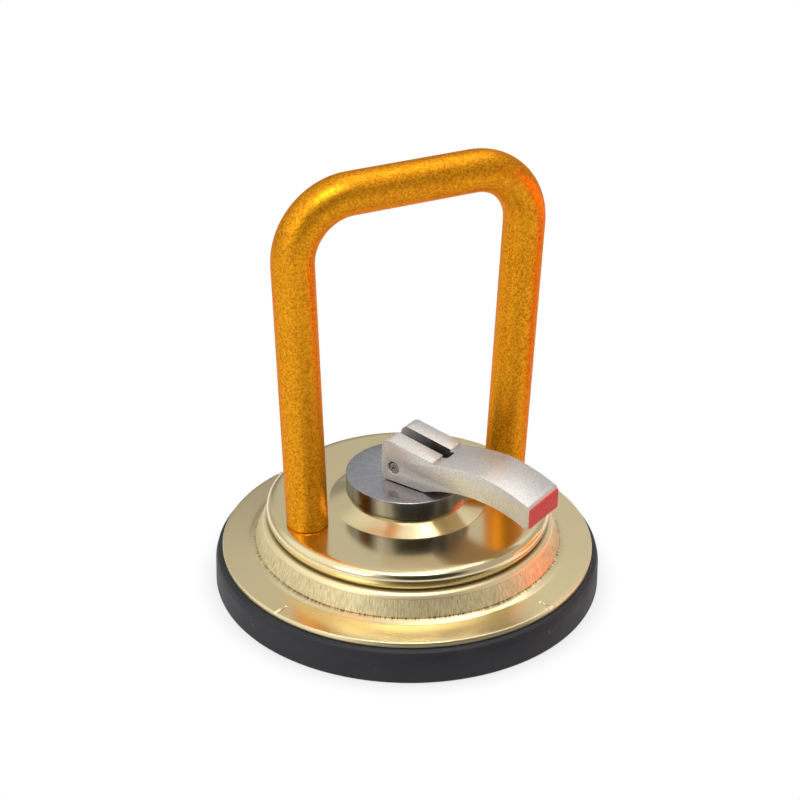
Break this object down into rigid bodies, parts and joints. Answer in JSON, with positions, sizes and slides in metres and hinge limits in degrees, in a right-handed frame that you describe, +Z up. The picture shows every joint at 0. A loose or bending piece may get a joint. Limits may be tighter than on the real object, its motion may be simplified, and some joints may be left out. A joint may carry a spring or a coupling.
{
  "type": "suction lifter",
  "caption": "Rubber suction cup under a stepped gold dome with a bent bar handle and a swivelling cam lever on a steel puck that pulls the cup's middle up to grip a tile.",
  "frame": {"origin": "on the surface that the rubber lip stands on, under the middle of the cup", "axes": "+Z up out of the surface, X through the two legs of the handle, Y through the open window of the handle"},
  "size_m": [0.1202, 0.1202, 0.1385],
  "materials": {
    "black_rubber": "matt moulded rubber",
    "gold_plated_steel": "bright yellow-gold plating over a turned pressing",
    "orange_gold_paint": "orange-gold metallic finish with a fine grain",
    "zinc_steel": "plain zinc",
    "bronze_bush": "plain bearing bronze",
    "dark_washer": "dark low-friction washer",
    "turned_steel": "ground and hardened steel",
    "dark_steel": "oiled steel",
    "blasted_aluminium": "blasted casting",
    "red_enamel": "red tip"
  },
  "bodies": {
    "base": {"rubber_cup": "black_rubber", "dome_plate": "gold_plated_steel", "handle": "orange_gold_paint", "handle_screws": "zinc_steel", "handle_washers": "zinc_steel", "handle_lock_washers": "zinc_steel", "guide_bush": "bronze_bush", "spring_seat_washer": "zinc_steel", "slip_washer": "dark_washer", "cam_puck": "turned_steel", "return_spring": "dark_steel"},
    "cup_core": {"cup_insert": "zinc_steel", "swivel_cap": "zinc_steel"},
    "stud": {"pull_stud": "dark_steel", "thrust_washer": "bronze_bush"},
    "lever": {"cam_lever": "blasted_aluminium", "lever_pin": "dark_steel", "tip_marker": "red_enamel"}
  },
  "joints": [
    {"name": "stud_lift", "type": "slide", "parent": "base", "child": "cup_core", "axis": [0, 0, 1], "range_m": [0, 0.00508], "deforming": ["return_spring", "rubber_cup"]},
    {"name": "lever_swivel", "type": "hinge", "parent": "cup_core", "child": "stud", "pos_m": [0, 0, 0.04155], "axis": [0, 0, 1], "range_deg": [-90, 34]},
    {"name": "lever_flip", "type": "hinge", "parent": "stud", "child": "lever", "pos_m": [0, 0, 0.04155], "axis": [-0.8829, -0.4695, 0], "range_deg": [0, 170.5]}
  ],
  "couplings": [
    {"joint": "stud_lift", "follows": "lever_flip", "m_per_rad": 0.0017071}
  ]
}
